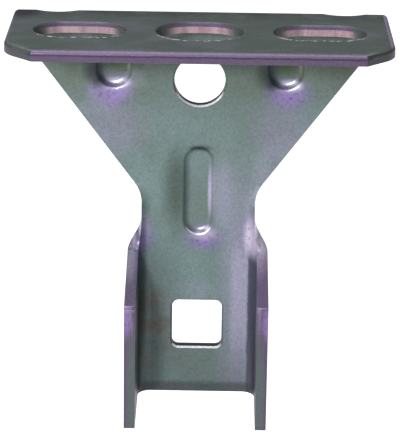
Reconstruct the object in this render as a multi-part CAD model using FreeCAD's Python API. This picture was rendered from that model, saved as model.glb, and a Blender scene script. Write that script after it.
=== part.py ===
import FreeCAD, Part
import math
import os

# Ceiling bracket: one punched and folded steel sheet.
# X runs along the row of slots, +Y from the open side of the channel to the back of the web, +Z is up.
# The origin is the centre of the middle slot, on the face that lies against the ceiling.

V = FreeCAD.Vector

# Sheet, the rounding of its outer edge and the bevel at the rims of its holes
sheet = 2.7
edge_roll = 1.2
rim_bevel = 0.4

# Ceiling flange and its bend
flange_width = 90.5
flange_reach = 40.0
corner_cut = 7.0
corner_round = 9.0
flange_bend = 2.0
dent_inset = 10.55
dent_depth = 0.85
dent_radius = 17.0
dent_lean = math.radians(71.0)

# Slots in the flange
slot_row = 20.0
slot_land = 7.25
slot_end_land = 6.3
slot_width = 14.0
middle_slot_length = 20.4
middle_slot_width = 17.0

# Web and neck
neck_width = 28.3
neck_depth = 46.5
neck_length = 6.4
neck_fillet = 8.0
curl_rise = 2.6
curl_turn = math.radians(75.0)
round_hole = 12.6
round_hole_depth = 17.7

# Shoulders, channel and its side walls
shoulder_flare = 3.35
shoulder_fillet = 9.0
channel_length = 47.1
channel_bend = 3.3
wall_reach = 25.5
wall_slope = math.radians(16.0)
wall_tip_round = 0.5
wall_foot_round = 1.5
nick_depth = 0.4
nick_height = 1.2

# Square hole in the channel
square_hole = 12.6
square_corner = 1.7
square_rise = 18.5

# Grooves pressed back from the front of the web, and the shallow dish around each
press_depth = 1.4
press_flank = 0.86
press_mouth_round = 0.9
press_floor_round = 1.85
dish_depth = 0.35
dish_reach = 3.2
dish_round = 20.0

# Floor of the long rib in the neck
rib_width = 5.85
rib_top = 35.6
rib_length = 21.1

# Floors of the two short beads under the bend
bead_offset = 21.1
bead_width = 7.3
bead_top = 10.0
bead_length = 8.9

# Places that follow from the sizes
margin = 1.0
front_y = -slot_row
web_y = front_y + flange_reach
back_y = web_y + sheet
flange_half = flange_width / 2
flange_bend_outer = flange_bend + sheet
dent_offset = flange_half - dent_inset
slot_length = flange_half - slot_end_land - slot_land - middle_slot_length / 2
slot_pitch = flange_half - slot_end_land - slot_length / 2
bend_start_y = back_y - flange_bend_outer
neck_half = neck_width / 2
channel_half = neck_half + shoulder_flare
channel_bend_outer = channel_bend + sheet
channel_bend_middle = channel_bend + sheet / 2
channel_flat = channel_half - channel_bend_outer
channel_axis_y = web_y - channel_bend
wall_y = web_y - wall_reach
curl_top = -neck_depth + curl_rise
curl_foot = curl_top - neck_length
fillet_z = curl_foot - curl_rise
foot_z = fillet_z - channel_length
square_z = foot_z + square_rise

# Distances along the middle of the sheet from the middle plane, as on the flat blank
neck_angle = math.asin((neck_half - channel_flat) / channel_bend_middle)
neck_along = channel_flat + channel_bend_middle * neck_angle
wall_along = channel_flat + channel_bend_middle * math.pi / 2
fillet_along = neck_along + shoulder_fillet


def outline_face(corners):
    """Face from (point, radius) corners, each rounded by an arc where its radius is not zero."""
    edges = []
    ends = []
    for index, (point, radius) in enumerate(corners):
        if not radius:
            ends.append((point, point))
            continue
        inward = (corners[index - 1][0] - point).normalize()
        outward = (corners[(index + 1) % len(corners)][0] - point).normalize()
        half_angle = inward.getAngle(outward) / 2
        start = point + inward * (radius / math.tan(half_angle))
        end = point + outward * (radius / math.tan(half_angle))
        bisector = (inward + outward).normalize()
        middle = point + bisector * (radius / math.sin(half_angle) - radius)
        edges.append(Part.Arc(start, middle, end).toShape())
        ends.append((start, end))
    for index, (start, _) in enumerate(ends):
        before = ends[index - 1][1]
        if before.distanceToPoint(start) > 1e-6:
            edges.append(Part.LineSegment(before, start).toShape())
    return Part.Face(Part.Wire(Part.__sortEdges__(edges)))


def obround_corners(left, right, near, far, place):
    """Corners of the obround that fills a rectangle; place turns two coordinates into a point."""
    radius = min(right - left, far - near) / 2
    rectangle = [(left, near), (right, near), (right, far), (left, far)]
    return [(place(*corner), radius) for corner in rectangle]


def mirrored(shape):
    """The same shape on the other side of the bracket's middle plane."""
    return shape.mirror(V(0, 0, 0), V(1, 0, 0))


def folded_plate():
    """Flange, bend and upper web as one L section."""
    left = -flange_half - margin
    corners = [
        (V(left, front_y, 0), 0),
        (V(left, back_y, 0), flange_bend_outer),
        (V(left, back_y, curl_top), 0),
        (V(left, web_y, curl_top), 0),
        (V(left, web_y, -sheet), flange_bend),
        (V(left, front_y, -sheet), 0),
    ]
    return outline_face(corners).extrude(V(flange_width + 2 * margin, 0, 0))


def web_outline():
    """Outline of the tapering web and the neck seen from the front, as a prism along Y."""
    start_y = front_y - margin
    right = [
        (V(flange_half + margin, start_y, margin), 0),
        (V(flange_half + margin, start_y, -flange_bend_outer), 0),
        (V(flange_half, start_y, -flange_bend_outer), 0),
        (V(neck_half, start_y, -neck_depth), neck_fillet),
        (V(neck_half, start_y, curl_foot), 0),
    ]
    left = [(V(-point.x, point.y, point.z), radius) for point, radius in reversed(right)]
    return outline_face(right + left).extrude(V(0, flange_reach + sheet + 2 * margin, 0))


def flange_outline():
    """Outline of the flange seen from above, with its cut corners, as a prism along Z."""
    foot = curl_foot - margin
    right = [
        (V(flange_half, back_y, foot), 0),
        (V(flange_half, front_y + corner_cut, foot), corner_round),
        (V(flange_half - corner_cut, front_y, foot), 0),
    ]
    left = [(V(-point.x, point.y, point.z), radius) for point, radius in reversed(right)]
    return outline_face(right + left).extrude(V(0, 0, margin - foot))


def half_section(level, curled):
    """Front and back curve of the right half of the neck at a height, flat or curled."""
    curves = []
    for radius, start_y in ((channel_bend, web_y), (channel_bend_outer, back_y)):
        start = V(channel_flat, start_y, level)
        if not curled:
            curves.append(Part.LineSegment(start, start + V(channel_bend_middle * curl_turn, 0, 0)))
            continue
        axis = V(channel_flat, channel_axis_y, level)
        middle = axis + V(math.sin(curl_turn / 2), math.cos(curl_turn / 2), 0) * radius
        end = axis + V(math.sin(curl_turn), math.cos(curl_turn), 0) * radius
        curves.append(Part.Arc(start, middle, end))
    return curves


def neck_section(level, curled):
    """Closed section of the neck at a height, flat or with the start of the channel's bends."""
    front, back = half_section(level, curled)
    tip = Part.LineSegment(front.EndPoint, back.EndPoint)
    right = [curve.toShape() for curve in (front, back, tip)]
    left = [mirrored(edge) for edge in right]
    flat = []
    for curve in (front, back):
        start = curve.StartPoint
        flat.append(Part.LineSegment(V(-start.x, start.y, start.z), start).toShape())
    return Part.Wire(Part.__sortEdges__(right + left + flat))


def upper_part():
    """Flange, bend, web, and the neck that curls into the channel."""
    neck = Part.makeLoft([neck_section(curl_top, False), neck_section(curl_foot, True)], True, True)
    plate = folded_plate().fuse(neck)
    return plate.common(web_outline()).common(flange_outline())


def channel_blank():
    """Channel from the foot up to the neck, before its outline is cut."""
    inner_half = channel_half - sheet
    right = [
        (V(inner_half, web_y, foot_z), channel_bend),
        (V(inner_half, wall_y, foot_z), 0),
        (V(channel_half, wall_y, foot_z), 0),
        (V(channel_half, back_y, foot_z), channel_bend_outer),
    ]
    left = [(V(-point.x, point.y, point.z), radius) for point, radius in reversed(right)]
    return outline_face(right + left).extrude(V(0, 0, curl_foot - foot_z))


def shoulder_waste():
    """What is cut away above the shoulder, within the right-hand bend of the channel.

    The cut follows the fillet of the flat blank. Its faces stand square to the web at the neck and
    turn with the bend until they stand square to the side wall.
    """
    turn_end = math.acos((fillet_along - wall_along) / shoulder_fillet)
    reach_inward = (sheet + channel_bend) / 2
    steps = 12
    turns = [turn_end * step / steps for step in range(steps + 1)]
    outer_points = []
    inner_points = []
    for turn in turns:
        along = fillet_along - shoulder_fillet * math.cos(turn)
        level = fillet_z - shoulder_fillet * math.sin(turn)
        angle = (along - channel_flat) / channel_bend_middle
        facing = math.pi / 2 * (along - neck_along) / (wall_along - neck_along)
        radial = V(math.sin(angle), math.cos(angle), 0)
        across = V(math.sin(facing), math.cos(facing), 0)
        middle = V(channel_flat, channel_axis_y, level) + radial * channel_bend_middle
        outer_points.append(middle + across * (sheet + margin))
        inner_points.append(middle - across * reach_inward)
    outer = Part.BSplineCurve()
    outer.interpolate(Points=outer_points, Parameters=turns)
    inner = Part.BSplineCurve()
    inner.interpolate(Points=inner_points, Parameters=turns)
    cut_face = Part.makeRuledSurface(outer.toShape(), inner.toShape())
    return cut_face.extrude(V(0, 0, shoulder_fillet + curl_rise + margin))


def wall_waste():
    """What is cut away around the side walls, seen from the side."""
    start_x = -channel_half - margin
    corner_y = channel_axis_y + wall_along - neck_along
    corner_z = fillet_z - shoulder_fillet / math.tan(math.pi / 4 + wall_slope / 2)
    tip_z = corner_z - (corner_y - wall_y) * math.tan(wall_slope)
    lip_z = tip_z - 2 * wall_tip_round
    corners = [
        (V(start_x, corner_y, curl_foot + margin), 0),
        (V(start_x, corner_y, corner_z), shoulder_fillet),
        (V(start_x, wall_y, tip_z), wall_tip_round),
        (V(start_x, wall_y, lip_z), 0),
        (V(start_x, wall_y + nick_depth, lip_z), 0),
        (V(start_x, wall_y, lip_z - nick_height), 0),
        (V(start_x, wall_y, foot_z), wall_foot_round),
        (V(start_x, back_y + margin, foot_z), 0),
        (V(start_x, back_y + margin, curl_foot + margin), 0),
    ]
    width = 2 * (channel_half + margin)
    kept = outline_face(corners).extrude(V(width, 0, 0))
    block_corner = V(start_x, wall_y - margin, foot_z - margin)
    depth = channel_axis_y - block_corner.y
    block = Part.makeBox(width, depth, curl_foot - foot_z + 2 * margin, block_corner)
    return block.cut(kept)


def channel_part():
    """Channel with its shoulders and side walls cut to their outline."""
    waste = shoulder_waste()
    return channel_blank().cut([waste, mirrored(waste), wall_waste()])


def slot_prism(centre_x, length, width):
    """Slot along X through the flange."""
    left = centre_x - length / 2
    foot = -sheet - margin
    corners = obround_corners(left, left + length, -width / 2, width / 2, lambda x, y: V(x, y, foot))
    return outline_face(corners).extrude(V(0, 0, sheet + 2 * margin))


def web_punches():
    """Round hole and square hole, as prisms along Y."""
    start_y = web_y - margin
    through = sheet + 2 * margin
    half = square_hole / 2
    square = [
        (V(-half, start_y, square_z - half), square_corner),
        (V(half, start_y, square_z - half), square_corner),
        (V(half, start_y, square_z + half), square_corner),
        (V(-half, start_y, square_z + half), square_corner),
    ]
    return [
        Part.makeCylinder(round_hole / 2, through, V(0, start_y, -round_hole_depth), V(0, 1, 0)),
        outline_face(square).extrude(V(0, through, 0)),
    ]


def flange_punches():
    """The three slots."""
    return [
        slot_prism(-slot_pitch, slot_length, slot_width),
        slot_prism(0, middle_slot_length, middle_slot_width),
        slot_prism(slot_pitch, slot_length, slot_width),
    ]


def bend_dents():
    """Two shallow dents in the outside of the flange's bend."""
    away = flange_bend_outer + dent_radius - dent_depth
    centre_y = bend_start_y + away * math.cos(dent_lean)
    centre_z = away * math.sin(dent_lean) - flange_bend_outer
    return [
        Part.makeSphere(dent_radius, V(offset, centre_y, centre_z))
        for offset in (-dent_offset, dent_offset)
    ]


def edges_within(shape, low, high):
    """Edges of a shape that lie inside a box."""
    box = FreeCAD.BoundBox(low, high)
    box.enlarge(0.01)
    boxes = [(edge, edge.BoundBox) for edge in shape.Edges]
    return [edge for edge, reach in boxes if reach.isValid() and box.isInside(reach)]


def roll_outer_edge(shape):
    """Round the upper edge of the flange's outline."""
    on_top = edges_within(shape, V(-flange_half, front_y, 0), V(flange_half, bend_start_y, 0))
    reach = max(slot_width, middle_slot_width) / 2
    rims = edges_within(shape, V(-flange_half, -reach, 0), V(flange_half, reach, 0))
    bend_line = edges_within(
        shape, V(-flange_half, bend_start_y, 0), V(flange_half, bend_start_y, 0)
    )
    inner = {edge.hashCode() for edge in rims + bend_line}
    outer = [edge for edge in on_top if edge.hashCode() not in inner]
    return shape.makeFillet(edge_roll, outer)


def bevel_rims(shape):
    """Bevel the holes on the side they were punched from."""
    reach = max(slot_width, middle_slot_width) / 2
    half_round = round_hole / 2
    half_square = square_hole / 2
    rims = edges_within(shape, V(-flange_half, -reach, 0), V(flange_half, reach, 0))
    rims += edges_within(
        shape,
        V(-half_round, web_y, -round_hole_depth - half_round),
        V(half_round, web_y, -round_hole_depth + half_round),
    )
    rims += edges_within(
        shape,
        V(-half_square, web_y, square_z - half_square),
        V(half_square, web_y, square_z + half_square),
    )
    return shape.makeChamfer(rim_bevel, rims)


def press_groove(shape, centre_x, floor_width, floor_top, floor_length):
    """Press a groove with round ends into the front of the web, so that it stands proud behind."""
    half = floor_width / 2
    rings = (
        (press_flank + dish_reach, 0),
        (press_flank, dish_depth),
        (0, press_depth),
    )
    wires = []
    for reach, depth in rings:
        corners = obround_corners(
            centre_x - half - reach,
            centre_x + half + reach,
            -floor_top - floor_length - reach,
            -floor_top + reach,
            lambda x, z: V(x, web_y + depth, z),
        )
        wires.append(outline_face(corners).OuterWire)
    groove = Part.makeLoft(wires, True, True)
    proud = groove.copy()
    proud.translate(V(0, sheet, 0))
    shape = shape.fuse(proud).cut(groove)
    reach = groove.BoundBox
    roundings = (
        (web_y, dish_round),
        (web_y + dish_depth, press_mouth_round),
        (web_y + press_depth, press_floor_round),
        (back_y, dish_round),
        (back_y + dish_depth, press_floor_round),
        (back_y + press_depth, press_mouth_round),
    )
    for level_y, radius in roundings:
        low = V(reach.XMin, level_y, reach.ZMin)
        high = V(reach.XMax, level_y, reach.ZMax)
        shape = shape.makeFillet(radius, edges_within(shape, low, high))
    return shape


def press_web(shape):
    """Press the long rib and the two beads."""
    shape = press_groove(shape, 0, rib_width, rib_top, rib_length)
    for centre_x in (-bead_offset, bead_offset):
        shape = press_groove(shape, centre_x, bead_width, bead_top, bead_length)
    return shape


def build_bracket():
    """The finished bracket."""
    shape = upper_part().fuse(channel_part()).removeSplitter()
    shape = shape.cut(flange_punches() + web_punches())
    shape = bevel_rims(roll_outer_edge(shape))
    return press_web(shape.cut(bend_dents()))


os.makedirs("parts", exist_ok=True)
bracket = build_bracket()
bracket.exportStep("parts/ceiling_bracket.step")
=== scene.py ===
import math

import bpy
from mathutils import Matrix, Vector

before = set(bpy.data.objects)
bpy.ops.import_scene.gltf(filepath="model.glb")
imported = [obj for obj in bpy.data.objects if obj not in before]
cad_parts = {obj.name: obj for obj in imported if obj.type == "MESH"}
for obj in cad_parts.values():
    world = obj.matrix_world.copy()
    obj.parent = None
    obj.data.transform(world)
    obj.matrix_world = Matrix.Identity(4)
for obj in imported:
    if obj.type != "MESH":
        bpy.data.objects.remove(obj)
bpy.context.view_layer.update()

MM = 0.001

# Camera, fitted to the photo's frame of 400 by 440 pixels
IMAGE_WIDTH = 400
FOCAL_PIXELS = 2351.25
SENSOR_MM = 36.0
CLIP_START = 0.01
CLIP_END = 50.0
CAMERA_TARGET = Vector((0.469, 20.0, -53.711)) * MM
CAMERA_DISTANCE = 588.09 * MM
CAMERA_ELEVATION = math.radians(18.843)
CAMERA_YAW = math.radians(0.331)
CAMERA_ROLL = math.radians(0.794)

# Set and light
FLOOR_LEVEL = -300.0 * MM
FLOOR_SIZE = 12.0
FLOOR_ALBEDO = 0.6
FLOOR_GLOW = 1.0
AMBIENT = 0.23
LAMP_DISTANCE = 0.9
KEY_AZIMUTH = math.radians(-14.0)
KEY_ELEVATION = math.radians(19.5)
KEY_SIZE = 0.1
KEY_WATTS = 6.2
SIDE_AZIMUTH = math.radians(-60.0)
SIDE_ELEVATION = math.radians(25.0)
SIDE_SIZE = 0.5
SIDE_WATTS = 4.0
TOP_AZIMUTH = math.radians(-20.0)
TOP_ELEVATION = math.radians(68.0)
TOP_SIZE = 0.6
TOP_WATTS = 3.0

# Softening of the sheet's cut edges
EDGE_SOFTENING = 0.3 * MM
EDGE_SEGMENTS = 3
SHARP_ANGLE = math.radians(32.0)
WELD_DISTANCE = 0.001 * MM
NORMAL_WEIGHT = 60

# Surface of the plated steel
METALLIC = 0.5
IOR = 1.5
COAT_ROUGHNESS = 0.28
COAT_IOR = 2.4
SMOOTHEST = 0.42
ROUGHEST = 0.5
DARKEST_GRAIN = 0.84
LIGHTEST_GRAIN = 1.14
RELIEF_DEPTH = 0.04 * MM
RELIEF_STRENGTH = 0.35
GRAIN_IN_RELIEF = 0.5

# Colours of the finish, linear. Several are painted light: painted highlights, glints and painted shade laid
# over the finish.
TEAL = (0.130, 0.192, 0.185)
OLIVE = (0.078, 0.098, 0.068)
BEAD_OLIVE = (0.045, 0.085, 0.030)
BEAD_EDGE_LIGHT = (0.170, 0.200, 0.140)
TOP_GREEN = (0.112, 0.154, 0.124)
TOP_WORN = (0.170, 0.205, 0.185)
LILAC = (0.220, 0.225, 0.295)
LILAC_DIM = (0.190, 0.178, 0.250)
VIOLET = (0.190, 0.125, 0.320)
GLEAM = (0.360, 0.340, 0.460)
SHOULDER_HIGHLIGHT = (0.640, 0.570, 0.720)
SHADE = (0.026, 0.038, 0.033)
BEND_SHADE = (0.046, 0.046, 0.070)
BLUE_SHADE = (0.020, 0.026, 0.040)
OLIVE_SHADE = (0.052, 0.080, 0.064)
STAIN = (0.095, 0.080, 0.060)
CUT = (0.078, 0.058, 0.098)
# Lighter cut colour: painted light on up-facing cut faces, also used for lighter streaks and strips on the
# cut edges
CUT_ABOVE = (0.190, 0.150, 0.240)
CUT_PINK = (0.330, 0.230, 0.245)
CUT_GREEN = (0.055, 0.072, 0.060)
CUT_INNER = (0.066, 0.096, 0.084)
CUT_DARK = (0.030, 0.018, 0.042)
GLINT = (0.850, 0.800, 0.880)
HOLE_GLINT = (0.800, 0.790, 0.850)
HIGHLIGHT_TINT = (0.85, 0.66, 1.0)
DULL_TINT = (0.20, 0.30, 0.15)

# Slots of the flange, in mm: middle from the bracket's middle, half of the straight part, end radius
SIDE_SLOT = (28.2, 3.75, 7.0)
MIDDLE_SLOT = (0.0, 1.7, 8.5)

# Patterns of noise: size of a feature in mm, detail, and the noise at which the pattern is absent and
# full. Some are rougher, start elsewhere, are drawn out along an axis, or never fall below a least value.
CLOUDS = dict(size=20.0, detail=4.0, absent=0.36, full=0.64)
THIN_CLOUDS = dict(CLOUDS, least=0.7)
PATCHES = dict(size=13.0, detail=3.0, absent=0.5, full=0.7, start=70.0)
BLOTCHES = dict(size=7.0, detail=4.0, absent=0.45, full=0.65, start=31.0)
TOP_SCUFFS = dict(size=5.0, detail=5.0, roughness=0.7, absent=0.45, full=0.7, start=50.0, stretch=(2.5, 1, 1))
BACK_MOTTLE = dict(size=4.0, detail=4.0, roughness=0.7, absent=0.3, full=0.6)
FRAYING = dict(size=1.6, detail=4.0, roughness=0.65, absent=0.3, full=0.7, least=0.5)
SPECKS = dict(size=1.1, detail=2.0, absent=0.56, full=0.66, start=11.0)
GLINT_BREAKS = dict(size=1.3, detail=3.0, roughness=0.6, absent=0.48, full=0.6)
TORN_STREAKS = dict(size=2.2, detail=3.0, roughness=0.6, absent=0.0, full=0.75, stretch=(1, 20, 20))
DRAWN_STREAKS = dict(size=1.1, detail=3.0, roughness=0.6, absent=0.4, full=0.65, stretch=(1, 20, 20))
GRAIN = dict(size=0.55, detail=3.0, roughness=0.6)
ROLLING_LINES = dict(size=1.6, detail=3.0, roughness=0.6, stretch=(4, 1, 1))
SHEEN_CHANGE = dict(size=6.0, detail=4.0, roughness=0.6)

# Nearly all values of a noise lie between these
NOISE_LOW = 0.3
NOISE_HIGH = 0.7

# Specks outside the blooms, and how many more there are within them
SPECKS_ANYWHERE = 0.06
SPECKS_IN_BLOOM = 0.5

# Lines that waver: the noise that moves them and how far, in mm
RAGGED_BEND = dict(size=1.5, detail=3.0, depth=0.8)
RAGGED_SEAM = dict(size=3.0, detail=3.0, depth=0.5)
WAVERING_EDGE = dict(size=5.0, detail=3.0, depth=1.2)

# Share of an ellipse's radius within which it is full
ELLIPSE_CORE = 0.15

# Areas of the bracket, in mm. A range names an axis, where the area is still absent and where it is full.
# An ellipse is given by its middle across and up, its half width and its half height, in the plane of X
# and Z unless the area names other axes. An area can also be either of some others.
IN_FLANGE = dict(ranges=[("z", -2.9, -2.6)])
ON_SHOULDER = dict(ranges=[("z", -63, -60), ("across", 13, 14)])
FLANGE_EDGE = dict(ranges=[("z", -2.9, -2.6), ("y", 17.6, 17.2), ("level", 0.85, 0.6)])
SIDEWAYS_EDGE = dict(ranges=[("frontal", 0.6, 0.4), ("level", 0.4, 0.55)])
WALL_EDGE = dict(ranges=[("y", -5, -5.3), ("z", -20, -30)])
# Band of the web under the flange, darkened with olive as a painted shadow of the flange
FLANGE_SHADOW_ZONE = dict(ranges=[("z", -34, -12), ("z", -2, -4)], pattern=THIN_CLOUDS)
ALL_OVER = dict(pattern=CLOUDS, strength=0.4)
FOOT_EDGE = dict(ranges=[("z", -95.5, -98.4)], strength=0.85)
FOOT_HAZE = dict(ranges=[("z", -78, -104)], strength=0.51)
NICK = dict(axes=("across", "z"), ellipses=[(17.3, -71.5, 2, 5.5)], ranges=[("y", -4.5, -5.3)])
BEAD_AND_SHOULDER = dict(axes=("across", "z"), ellipses=[(21.8, -20.9, 7.6, 5.4), (15, -57.5, 5.5, 8)])
RIB_END = dict(ellipses=[(1.5, -58.5, 6.8, 4.6)])
FLANGE_CORNER = dict(axes=("x", "y"), ellipses=[(-42.5, 16, 6, 9)], ranges=[("z", -3, -1)])
BESIDE_GROOVES = dict(ellipses=[(0.2, -35.1, 4.2, 1.3), (-25.6, -15.6, 4.2, 5.2), (16.8, -15.8, 4.2, 5.2)])
BEAD_AND_SHOULDER_GLOSS = dict(axes=("across", "z"), ellipses=[(21.6, -19, 4.6, 2.2), (15.2, -56, 4, 6.5)])
RIB_GLOSS = dict(ellipses=[(1.2, -57.4, 5, 2.4)])
BLOOM = dict(either=[BEAD_AND_SHOULDER, NICK, RIB_END], pattern=FRAYING)
BEAD_FLOOR = dict(axes=("across", "z"), ellipses=[(21.1, -10.8, 5.2, 8)])
GLOSS = dict(either=[BEAD_AND_SHOULDER_GLOSS, RIB_GLOSS])

# Marks on the rolled faces: areas with a colour, each laid over the ones before. Some of them are painted
# shadow, shade and highlights.
# Olive clouds all over, a random tone, and a painted shadow of the flange in olive on the web below it
OLIVE_TONE_AND_FLANGE_SHADOW = dict(colour=OLIVE, either=[FLANGE_SHADOW_ZONE, ALL_OVER])
FLANGE_TOP = dict(colour=TOP_GREEN, ranges=[("z", -2, -1)])
FLANGE_WEAR = dict(colour=TOP_WORN, ranges=[("z", -2, -1)], pattern=TOP_SCUFFS, strength=0.6)
FLANGE_BACK = dict(colour=SHADE, ranges=[("y", 8, 18), ("z", -3, -2)], pattern=BACK_MOTTLE, strength=0.55)
FLANGE_FRONT = dict(colour=CUT_ABOVE, ranges=[("y", -18.9, -19.3), ("z", -3, -2)], strength=0.7)
# Light lilac strip along the flange's right end: a painted highlight on its rolled edge
FLANGE_END_HIGHLIGHT = dict(colour=GLEAM, ranges=[("x", 43.9, 44.3), ("z", -3, -2)])
LILAC_PATCHES = dict(colour=LILAC, pattern=PATCHES, strength=0.4)
WEB_SHEEN = dict(colour=LILAC_DIM, axes=("across", "z"), ellipses=[(21, -30, 12, 11)], strength=0.5)
# Web painted lighter towards its right: painted light, as if the side towards the lamp were lit
LIT_RIGHT_SIDE = dict(colour=LILAC, ranges=[("x", 3, 11), ("z", -30, -60)], strength=0.8)
# Light strip on the channel's web beside its right bend: a painted highlight
RIGHT_STRIP_HIGHLIGHT = dict(
    colour=GLEAM,
    ranges=[("x", 7.5, 9.5), ("x", 13, 11), ("z", -58, -66), ("z", -96, -84)],
    strength=0.45,
)
# Channel web darkening towards its left wall: a painted shadow of that wall
SHADED_LEFT_SIDE = dict(colour=SHADE, ranges=[("x", -1, -15), ("z", -56, -70)], strength=0.28)
# Ragged dark line in the channel's right bend: painted shade standing in for the bend's dark reflection
RIGHT_BEND_SHADE = dict(colour=BEND_SHADE, ranges=[("ragged_x", 12.9, 13.4), ("z", -61, -64)], strength=0.8)
FOOT = dict(colour=SHADE, either=[FOOT_EDGE, FOOT_HAZE])
LOW_STAIN = dict(
    colour=STAIN,
    ranges=[("x", 2, -10), ("z", -62, -80), ("x", -15, -14.5), ("y", 21.5, 20.5)],
    pattern=BLOTCHES,
    strength=0.7,
)
ROLLED_MARKS = (
    OLIVE_TONE_AND_FLANGE_SHADOW, FLANGE_TOP, FLANGE_WEAR, FLANGE_BACK, FLANGE_FRONT, FLANGE_END_HIGHLIGHT, LILAC_PATCHES,
    WEB_SHEEN, LIT_RIGHT_SIDE, RIGHT_STRIP_HIGHLIGHT, SHADED_LEFT_SIDE, RIGHT_BEND_SHADE, FOOT, LOW_STAIN,
)

# Marks on the cut edges. The slots' walls carry marks of their own.
# Cut faces that look upwards painted lighter: painted light from above
CUT_LIT_FROM_ABOVE = dict(colour=CUT_ABOVE, ranges=[("up", 0.3, 0.8)])
CUT_CORNER = dict(colour=CUT_GREEN, ranges=[("aside", 0.3, 0.6), ("z", -5, -4)], strength=0.8)
SLOT_TORN = dict(colour=CUT_PINK, ranges=[("z", -1, -1.25)], pattern=TORN_STREAKS)
SLOT_END = dict(colour=CUT_GREEN, ranges=[("aside", 0.45, 0.8)])
SLOT_WALL = dict(
    colour=CUT,
    ranges=[("along", 9.5, 9), ("z", -5, -4), ("across", 40, 39.5)],
    marks=(SLOT_TORN, SLOT_END),
)
FRONT_SEAM = dict(
    colour=CUT_DARK,
    ranges=[("ragged_z", -0.6, -0.75), ("ragged_z", -1.25, -1.1), ("y", -18.5, -19)],
    strength=0.75,
)
HOLE_WALL = dict(colour=CUT_GREEN, ranges=[("y", 18, 19), ("z", -8, -9), ("across", 8.5, 8)])
WALL_STREAKS = dict(
    colour=CUT_ABOVE,
    ranges=[("z", -78, -72), ("z", -20, -30)],
    pattern=DRAWN_STREAKS,
    strength=0.9,
)
WALL_STRIP = dict(
    colour=CUT_ABOVE,
    ranges=[("x", 14.7, 14.9), ("x", 16.2, 15.7), ("z", -70, -67), ("z", -20, -30)],
    strength=0.7,
)
WALL_INNER = dict(colour=CUT_INNER, ranges=[("wavering_across", 17.7, 16.9), ("z", -68, -84)], strength=0.85)
CUT_MARKS = (
    CUT_LIT_FROM_ABOVE, CUT_CORNER, SLOT_WALL, FRONT_SEAM, HOLE_WALL, WALL_STREAKS, WALL_STRIP, WALL_INNER,
)

# Marks over both, most of them painted highlights and painted shade
# Violet on the beads, shoulders, nicks and the rib's foot: a tint of the pressed areas, partly a painted
# violet halo round their highlights
VIOLET_TINT_AND_HALO = dict(BLOOM, colour=VIOLET)
# Bead floors darkened to olive: painted shade, as they lie in the flange's shadow
SHADED_BEAD_FLOOR = dict(BEAD_FLOOR, colour=BEAD_OLIVE, ranges=[("y", 10, 15)])
# Painted highlights: a line on the rib's right flank, lines on the left shoulder and arcs at the beads' lower
# ends
HIGHLIGHT_LINES = dict(colour=GLEAM, ellipses=[
    (2.85, -46.5, 0.75, 9.5),
    (-16, -58, 0.8, 4.5),
    (-16.6, -62, 2.2, 3.6),
    (-19.4, -18.5, 3.4, 1.7),
    (22.8, -18.7, 3.4, 1.7),
])
# Painted highlight on the right shoulder
RIGHT_SHOULDER_HIGHLIGHT = dict(colour=SHOULDER_HIGHLIGHT, ellipses=[(15, -58, 4.6, 7.2)])
# Painted highlight along the rib's right edge, lightening its dark outline
RIB_EDGE_HIGHLIGHT = dict(colour=GLEAM, ellipses=[(3.5, -46.5, 0.8, 10.8)], strength=0.6)
# Painted light on the beads' right edges, lightening their dark outline
LIT_BEAD_EDGES = dict(colour=BEAD_EDGE_LIGHT, ellipses=[(-17.3, -13, 0.9, 5.6), (24.9, -13, 0.9, 5.6)])
# Painted shade, olive, on the web left of the rib
RIB_LEFT_SHADE = dict(colour=OLIVE_SHADE, ellipses=[(-5.6, -45, 4.8, 15)], strength=0.8)
# Painted light, lilac, on the web right of the rib
RIB_SHEEN = dict(colour=LILAC, ellipses=[(6.2, -47, 4.6, 13)], strength=0.7)
# Painted shade on the flange top's back left corner, in an arc over the rib and left of the beads
GROOVE_AND_CORNER_SHADE = dict(colour=SHADE, either=[FLANGE_CORNER, BESIDE_GROOVES], strength=0.9)
# Bluish painted shade at the beads' lower left
BLUE_BEAD_SHADE = dict(colour=BLUE_SHADE, ellipses=[(-24.4, -18.4, 2.6, 2.2), (18, -18.6, 2.6, 2.2)], strength=0.85)
# Painted glints along the slots' front rims
SLOT_GLINT = dict(
    colour=GLINT,
    ranges=[("from_slot", 1.3, 1), ("z", -0.4, -0.2), ("y", -4, -6)],
    pattern=GLINT_BREAKS,
)
# Painted glint along the lower rims of the web's holes
HOLE_RIM_GLINT = dict(
    colour=HOLE_GLINT,
    ranges=[("y", 20.65, 20.5), ("y", 19.8, 20), ("z", -12, -14), ("across", 7, 6.5), ("up", 0.25, 0.5)],
)
LATER_MARKS = (
    VIOLET_TINT_AND_HALO, SHADED_BEAD_FLOOR, HIGHLIGHT_LINES, RIGHT_SHOULDER_HIGHLIGHT, RIB_EDGE_HIGHLIGHT, LIT_BEAD_EDGES, RIB_LEFT_SHADE,
    RIB_SHEEN, GROOVE_AND_CORNER_SHADE, BLUE_BEAD_SHADE, SLOT_GLINT, HOLE_RIM_GLINT,
)


def direction(azimuth, elevation):
    """Unit vector towards a place seen at an azimuth right of -Y and an elevation above the horizon."""
    level = math.cos(elevation)
    return Vector((math.sin(azimuth) * level, -math.cos(azimuth) * level, math.sin(elevation)))


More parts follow.
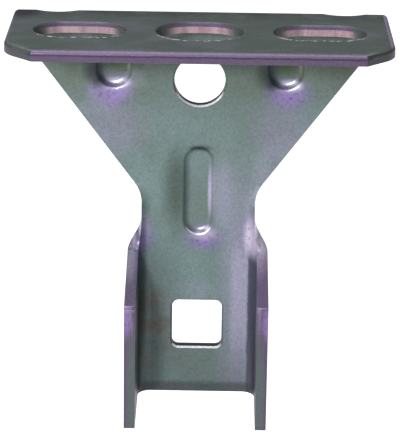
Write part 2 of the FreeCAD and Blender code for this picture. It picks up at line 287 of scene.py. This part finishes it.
def make_camera():
    """Camera at the photo's viewing angle."""
    level = math.cos(CAMERA_ELEVATION)
    forward = Vector((
        -math.sin(CAMERA_YAW) * level,
        math.cos(CAMERA_YAW) * level,
        -math.sin(CAMERA_ELEVATION),
    ))
    flat_right = Vector((math.cos(CAMERA_YAW), math.sin(CAMERA_YAW), 0))
    flat_up = flat_right.cross(forward)
    right = math.cos(CAMERA_ROLL) * flat_right + math.sin(CAMERA_ROLL) * flat_up
    up = math.cos(CAMERA_ROLL) * flat_up - math.sin(CAMERA_ROLL) * flat_right
    data = bpy.data.cameras.new("camera")
    data.sensor_fit = "HORIZONTAL"
    data.sensor_width = SENSOR_MM
    data.lens = SENSOR_MM * FOCAL_PIXELS / IMAGE_WIDTH
    data.clip_start = CLIP_START
    data.clip_end = CLIP_END
    camera = bpy.data.objects.new("camera", data)
    turn = Matrix((right, up, -forward)).transposed().to_4x4()
    camera.matrix_world = Matrix.Translation(CAMERA_TARGET - forward * CAMERA_DISTANCE) @ turn
    bpy.context.collection.objects.link(camera)
    bpy.context.scene.camera = camera


def make_lamp(name, azimuth, elevation, size, watts):
    """Round soft lamp that faces the bracket."""
    data = bpy.data.lights.new(name, "AREA")
    data.shape = "DISK"
    data.size = size
    data.energy = watts
    lamp = bpy.data.objects.new(name, data)
    towards = direction(azimuth, elevation)
    lamp.location = CAMERA_TARGET + towards * LAMP_DISTANCE
    lamp.rotation_euler = towards.to_track_quat("Z", "Y").to_euler()
    bpy.context.collection.objects.link(lamp)


def make_world():
    """Plain grey surround."""
    world = bpy.data.worlds.new("surround")
    world.use_nodes = True
    background = world.node_tree.nodes["Background"]
    background.inputs["Color"].default_value = (AMBIENT, AMBIENT, AMBIENT, 1)
    bpy.context.scene.world = world


class Nodes:
    """Short calls that add and join shader nodes of one material."""

    def __init__(self, material):
        material.use_nodes = True
        self.tree = material.node_tree

    def add(self, kind, inputs=(), output=0, **settings):
        """Add a node, set its properties and inputs, and give back one of its outputs."""
        node = self.tree.nodes.new("ShaderNode" + kind)
        for name, value in settings.items():
            setattr(node, name, value)
        for name, value in dict(inputs).items():
            if isinstance(value, bpy.types.NodeSocket):
                self.tree.links.new(value, node.inputs[name])
            else:
                node.inputs[name].default_value = value
        return node.outputs[output]

    def join(self, output, socket):
        self.tree.links.new(output, socket)

    def math(self, operation, first, second=0.0, third=0.0):
        return self.add("Math", {0: first, 1: second, 2: third}, operation=operation)

    def product(self, factors):
        """Product of masks and numbers."""
        result = factors[0]
        for factor in factors[1:]:
            result = self.math("MULTIPLY", result, factor)
        return result

    def greatest(self, values):
        """Greatest of some masks."""
        result = values[0]
        for value in values[1:]:
            result = self.math("MAXIMUM", result, value)
        return result

    def step(self, value, absent, full, least=0.0):
        """Smooth rise to 1 between two values, or a fall where the first is the greater."""
        inputs = {"Value": value, "From Min": absent, "From Max": full, "To Min": least}
        return self.add("MapRange", inputs, "Result", interpolation_type="SMOOTHSTEP")

    def spread(self, noise, low, high):
        """Noise turned into a value between two others."""
        inputs = {
            "Value": noise,
            "From Min": NOISE_LOW,
            "From Max": NOISE_HIGH,
            "To Min": low,
            "To Max": high,
        }
        return self.add("MapRange", inputs, "Result")

    def length(self, across, up):
        """Length of a vector with two parts."""
        vector = self.add("CombineXYZ", {0: across, 1: up})
        return self.add("VectorMath", {0: vector}, "Value", operation="LENGTH")

    def ellipse(self, across, up, shape):
        """1 in the middle of an ellipse, falling to 0 at its outline."""
        middle_across, middle_up, half_width, half_height = shape
        across = self.math("MULTIPLY_ADD", across, 1 / half_width, -middle_across / half_width)
        up = self.math("MULTIPLY_ADD", up, 1 / half_height, -middle_up / half_height)
        return self.step(self.length(across, up), 1.0, ELLIPSE_CORE)

    def noise(self, place, size, detail, roughness=0.5, stretch=(1, 1, 1), start=0.0):
        """Noise with features of a size, drawn out along the stretched axes."""
        scale = [1 / (size * longer) for longer in stretch]
        location = (start * scale[0], 0, start * scale[2])
        scaled = self.add("Mapping", {"Vector": place, "Location": location, "Scale": scale})
        inputs = {"Vector": scaled, "Scale": 1.0, "Detail": detail, "Roughness": roughness}
        return self.add("TexNoise", inputs)

    def pattern(self, place, absent, full, least=0.0, **noise):
        """Noise with its contrast raised until parts of it are absent and full."""
        return self.step(self.noise(place, **noise), absent, full, least)

    def blend(self, factor, first, second):
        """Mix of two colours."""
        inputs = {0: factor}
        for name, colour in ((6, first), (7, second)):
            inputs[name] = colour if isinstance(colour, bpy.types.NodeSocket) else (*colour, 1)
        return self.add("Mix", inputs, 2, data_type="RGBA")


def floor_material():
    """White floor that glows for camera, glossy and transmission rays only, and keeps shadows."""
    material = bpy.data.materials.new("floor")
    nodes = Nodes(material)
    nodes.tree.nodes.clear()
    kinds = ("Is Camera Ray", "Is Glossy Ray", "Is Transmission Ray")
    shown = nodes.greatest([nodes.add("LightPath", {}, kind) for kind in kinds])
    glow = nodes.add("Emission", {"Strength": nodes.math("MULTIPLY", shown, FLOOR_GLOW)})
    diffuse = nodes.add("BsdfDiffuse", {"Color": (FLOOR_ALBEDO, FLOOR_ALBEDO, FLOOR_ALBEDO, 1)})
    both = nodes.add("AddShader", {0: diffuse, 1: glow})
    output = nodes.tree.nodes.new("ShaderNodeOutputMaterial")
    nodes.join(both, output.inputs["Surface"])
    return material


def make_floor():
    """Plain pale floor below the bracket."""
    half = FLOOR_SIZE / 2
    mesh = bpy.data.meshes.new("floor")
    corners = [(-half, -half), (half, -half), (half, half), (-half, half)]
    mesh.from_pydata([(x, y, FLOOR_LEVEL) for x, y in corners], [], [(0, 1, 2, 3)])
    mesh.materials.append(floor_material())
    floor = bpy.data.objects.new("floor", mesh)
    bpy.context.collection.objects.link(floor)


def from_slot(nodes, spot, slot):
    """Distance outwards from a slot's outline, seen from above."""
    middle, straight, radius = slot
    aside = nodes.math("ABSOLUTE", nodes.math("SUBTRACT", spot["across"], middle))
    past_straight = nodes.math("MAXIMUM", nodes.math("SUBTRACT", aside, straight), 0.0)
    return nodes.math("SUBTRACT", nodes.length(past_straight, spot["y"]), radius)


def ragged(nodes, spot, axis, depth, **noise):
    """An axis that wavers, so that a range along it ends in a ragged line."""
    return nodes.math("MULTIPLY_ADD", nodes.noise(spot["place"], **noise), depth, spot[axis])


def make_spot(nodes):
    """Where a point of the bracket lies, in mm, and which way its face looks, for use in ranges."""
    metres = nodes.add("TexCoord", {}, "Object")
    place = nodes.add("VectorMath", {0: metres, 1: (1 / MM, 1 / MM, 1 / MM)}, operation="MULTIPLY")
    normal = nodes.add("TexCoord", {}, "Normal")
    facing = {axis: nodes.add("SeparateXYZ", {0: normal}, axis) for axis in "XYZ"}
    spot = {axis.lower(): nodes.add("SeparateXYZ", {0: place}, axis) for axis in "XYZ"}
    spot["place"] = place
    spot["across"] = nodes.math("ABSOLUTE", spot["x"])
    spot["along"] = nodes.math("ABSOLUTE", spot["y"])
    spot["up"] = facing["Z"]
    spot["aside"] = nodes.math("ABSOLUTE", facing["X"])
    spot["frontal"] = nodes.math("ABSOLUTE", facing["Y"])
    spot["level"] = nodes.math("ABSOLUTE", facing["Z"])
    spot["ragged_x"] = ragged(nodes, spot, "x", **RAGGED_BEND)
    spot["ragged_z"] = ragged(nodes, spot, "z", **RAGGED_SEAM)
    spot["wavering_across"] = ragged(nodes, spot, "across", **WAVERING_EDGE)
    distances = [from_slot(nodes, spot, slot) for slot in (SIDE_SLOT, MIDDLE_SLOT)]
    spot["from_slot"] = nodes.math("MINIMUM", *distances)
    return spot


def area_mask(nodes, spot, area):
    """1 within an area and 0 outside it: the product of its ranges, shapes, pattern and strength."""
    factors = [nodes.step(spot[axis], absent, full) for axis, absent, full in area.get("ranges", ())]
    if "either" in area:
        factors.append(nodes.greatest([area_mask(nodes, spot, part) for part in area["either"]]))
    if "ellipses" in area:
        across, up = [spot[axis] for axis in area.get("axes", ("x", "z"))]
        factors.append(nodes.greatest([nodes.ellipse(across, up, shape) for shape in area["ellipses"]]))
    if "pattern" in area:
        factors.append(nodes.pattern(spot["place"], **area["pattern"]))
    if "strength" in area:
        factors.append(area["strength"])
    return nodes.product(factors)


def marked(nodes, spot, colour, marks):
    """Colour with marks laid over it one after another, each with the marks that it carries itself."""
    for mark in marks:
        laid = marked(nodes, spot, mark["colour"], mark.get("marks", ()))
        colour = nodes.blend(area_mask(nodes, spot, mark), colour, laid)
    return colour


def cut_mask(nodes, spot):
    """1 on the sheet's cut edges and on the walls of its holes, 0 on its rolled faces."""
    flange, sideways, wall, above, shoulder = [
        area_mask(nodes, spot, area)
        for area in (FLANGE_EDGE, SIDEWAYS_EDGE, WALL_EDGE, IN_FLANGE, ON_SHOULDER)
    ]
    elsewhere = nodes.math("SUBTRACT", 1.0, nodes.greatest([above, shoulder]))
    below = nodes.product([nodes.greatest([sideways, wall]), elsewhere])
    return nodes.greatest([flange, below])


def finish_colour(nodes, spot, grain):
    """Colour of the finish at a point, with painted highlights, painted shade and a painted shadow laid over
    it.
    """
    rolled = marked(nodes, spot, TEAL, ROLLED_MARKS)
    cut = marked(nodes, spot, CUT, CUT_MARKS)
    colour = nodes.blend(cut_mask(nodes, spot), rolled, cut)
    colour = marked(nodes, spot, colour, LATER_MARKS)
    share = nodes.math("MULTIPLY_ADD", area_mask(nodes, spot, BLOOM), SPECKS_IN_BLOOM, SPECKS_ANYWHERE)
    specks = nodes.product([nodes.pattern(spot["place"], **SPECKS), share])
    colour = nodes.blend(specks, colour, SHADE)
    inputs = {0: 1.0, 6: colour, 7: nodes.spread(grain, DARKEST_GRAIN, LIGHTEST_GRAIN)}
    return nodes.add("Mix", inputs, 2, data_type="RGBA", blend_type="MULTIPLY")


def steel_material():
    """Zinc-plated, passivated sheet steel."""
    material = bpy.data.materials.new("passivated_steel")
    nodes = Nodes(material)
    socket = nodes.tree.nodes["Principled BSDF"].inputs
    spot = make_spot(nodes)
    place = spot["place"]
    grain = nodes.noise(place, **GRAIN)
    nodes.join(finish_colour(nodes, spot, grain), socket["Base Color"])
    socket["Metallic"].default_value = METALLIC
    socket["IOR"].default_value = IOR
    sheen = nodes.noise(place, **SHEEN_CHANGE)
    nodes.join(nodes.spread(sheen, SMOOTHEST, ROUGHEST), socket["Roughness"])
    dull = area_mask(nodes, spot, BEAD_FLOOR)
    nodes.join(nodes.blend(dull, HIGHLIGHT_TINT, DULL_TINT), socket["Specular Tint"])
    nodes.join(area_mask(nodes, spot, GLOSS), socket["Coat Weight"])
    socket["Coat Roughness"].default_value = COAT_ROUGHNESS
    socket["Coat IOR"].default_value = COAT_IOR
    relief = nodes.math("MULTIPLY_ADD", grain, GRAIN_IN_RELIEF, nodes.noise(place, **ROLLING_LINES))
    inputs = {"Height": relief, "Strength": RELIEF_STRENGTH, "Distance": RELIEF_DEPTH}
    nodes.join(nodes.add("Bump", inputs), socket["Normal"])
    return material


def dress_bracket():
    """Soften the bracket's cut edges and give it its finish."""
    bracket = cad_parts["ceiling_bracket"]
    weld = bracket.modifiers.new("weld", "WELD")
    weld.merge_threshold = WELD_DISTANCE
    bevel = bracket.modifiers.new("edge_softening", "BEVEL")
    bevel.width = EDGE_SOFTENING
    bevel.segments = EDGE_SEGMENTS
    bevel.limit_method = "ANGLE"
    bevel.angle_limit = SHARP_ANGLE
    bevel.use_clamp_overlap = True
    normals = bracket.modifiers.new("even_normals", "WEIGHTED_NORMAL")
    normals.weight = NORMAL_WEIGHT
    bracket.material_slots[0].material = steel_material()


make_camera()
make_world()
make_lamp("key", KEY_AZIMUTH, KEY_ELEVATION, KEY_SIZE, KEY_WATTS)
make_lamp("side", SIDE_AZIMUTH, SIDE_ELEVATION, SIDE_SIZE, SIDE_WATTS)
make_lamp("top", TOP_AZIMUTH, TOP_ELEVATION, TOP_SIZE, TOP_WATTS)
make_floor()
dress_bracket()

bpy.context.scene.view_settings.view_transform = "Standard"
